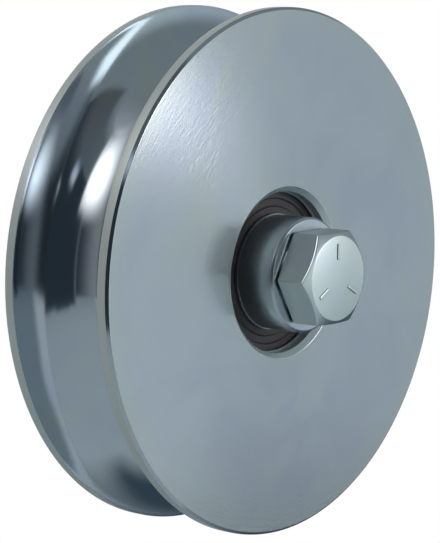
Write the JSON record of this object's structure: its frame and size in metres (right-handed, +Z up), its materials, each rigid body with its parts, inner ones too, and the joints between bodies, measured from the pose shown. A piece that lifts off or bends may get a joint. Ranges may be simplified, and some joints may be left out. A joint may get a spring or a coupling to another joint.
{
  "type": "grooved sheave wheel",
  "caption": "Turned steel wheel with a round-bottomed groove for a rope or round rail, running on a sealed ball bearing clamped between two bushes by a hexagon bolt.",
  "frame": {"origin": "centre of the wheel: on the axle, midway between the wheel's two faces, in the groove's middle plane", "axes": "+Y along the axle from the bolt's head to its threaded end, +Z up, +X to the right seen from the head"},
  "size_m": [0.1, 0.0671, 0.1],
  "materials": {
    "wheel_zinc": "satin zinc plate on turned steel",
    "bush_zinc": "bright zinc plate on turned steel",
    "fastener_zinc": "bright zinc plate on forged steel",
    "bearing_steel": "ground bearing steel",
    "ball_steel": "polished bearing steel",
    "cage_steel": "pressed sheet steel",
    "spring_steel": "black phosphated spring steel",
    "seal_rubber": "moulded nitrile rubber"
  },
  "bodies": {
    "axle": {"axle_bolt": "fastener_zinc", "front_bush": "bush_zinc", "back_bush": "bush_zinc", "bearing_inner_ring": "bearing_steel", "plain_washer": "fastener_zinc", "lock_washer": "fastener_zinc", "axle_nut": "fastener_zinc"},
    "wheel": {"sheave_wheel": "wheel_zinc", "bearing_outer_ring": "bearing_steel", "seal_front": "seal_rubber", "seal_back": "seal_rubber", "retaining_ring": "spring_steel"},
    "cage": {"cage_front_half": "cage_steel", "cage_back_half": "cage_steel", "cage_rivets": "cage_steel"},
    "ball_1": {"ball_1": "ball_steel"},
    "ball_2": {"ball_2": "ball_steel"},
    "ball_3": {"ball_3": "ball_steel"},
    "ball_4": {"ball_4": "ball_steel"},
    "ball_5": {"ball_5": "ball_steel"},
    "ball_6": {"ball_6": "ball_steel"},
    "ball_7": {"ball_7": "ball_steel"},
    "ball_8": {"ball_8": "ball_steel"}
  },
  "joints": [
    {"name": "wheel_spin", "type": "hinge", "parent": "axle", "child": "wheel", "pos_m": [0, 0, 0], "axis": [0, 1, 0], "continuous": true},
    {"name": "cage_spin", "type": "hinge", "parent": "axle", "child": "cage", "pos_m": [0, -0.0028, 0], "axis": [0, 1, 0], "continuous": true},
    {"name": "ball_1_spin", "type": "hinge", "parent": "cage", "child": "ball_1", "pos_m": [0, -0.0028, 0.0125], "axis": [0, 1, 0], "continuous": true},
    {"name": "ball_2_spin", "type": "hinge", "parent": "cage", "child": "ball_2", "pos_m": [0.00884, -0.0028, 0.00884], "axis": [0, 1, 0], "continuous": true},
    {"name": "ball_3_spin", "type": "hinge", "parent": "cage", "child": "ball_3", "pos_m": [0.0125, -0.0028, 0], "axis": [0, 1, 0], "continuous": true},
    {"name": "ball_4_spin", "type": "hinge", "parent": "cage", "child": "ball_4", "pos_m": [0.00884, -0.0028, -0.00884], "axis": [0, 1, 0], "continuous": true},
    {"name": "ball_5_spin", "type": "hinge", "parent": "cage", "child": "ball_5", "pos_m": [0, -0.0028, -0.0125], "axis": [0, 1, 0], "continuous": true},
    {"name": "ball_6_spin", "type": "hinge", "parent": "cage", "child": "ball_6", "pos_m": [-0.00884, -0.0028, -0.00884], "axis": [0, 1, 0], "continuous": true},
    {"name": "ball_7_spin", "type": "hinge", "parent": "cage", "child": "ball_7", "pos_m": [-0.0125, -0.0028, 0], "axis": [0, 1, 0], "continuous": true},
    {"name": "ball_8_spin", "type": "hinge", "parent": "cage", "child": "ball_8", "pos_m": [-0.00884, -0.0028, 0.00884], "axis": [0, 1, 0], "continuous": true}
  ],
  "couplings": [
    {"joint": "cage_spin", "follows": "wheel_spin", "ratio": 0.61906},
    {"joint": "ball_1_spin", "follows": "wheel_spin", "ratio": 1.9807},
    {"joint": "ball_2_spin", "follows": "wheel_spin", "ratio": 1.9807},
    {"joint": "ball_3_spin", "follows": "wheel_spin", "ratio": 1.9807},
    {"joint": "ball_4_spin", "follows": "wheel_spin", "ratio": 1.9807},
    {"joint": "ball_5_spin", "follows": "wheel_spin", "ratio": 1.9807},
    {"joint": "ball_6_spin", "follows": "wheel_spin", "ratio": 1.9807},
    {"joint": "ball_7_spin", "follows": "wheel_spin", "ratio": 1.9807},
    {"joint": "ball_8_spin", "follows": "wheel_spin", "ratio": 1.9807}
  ]
}
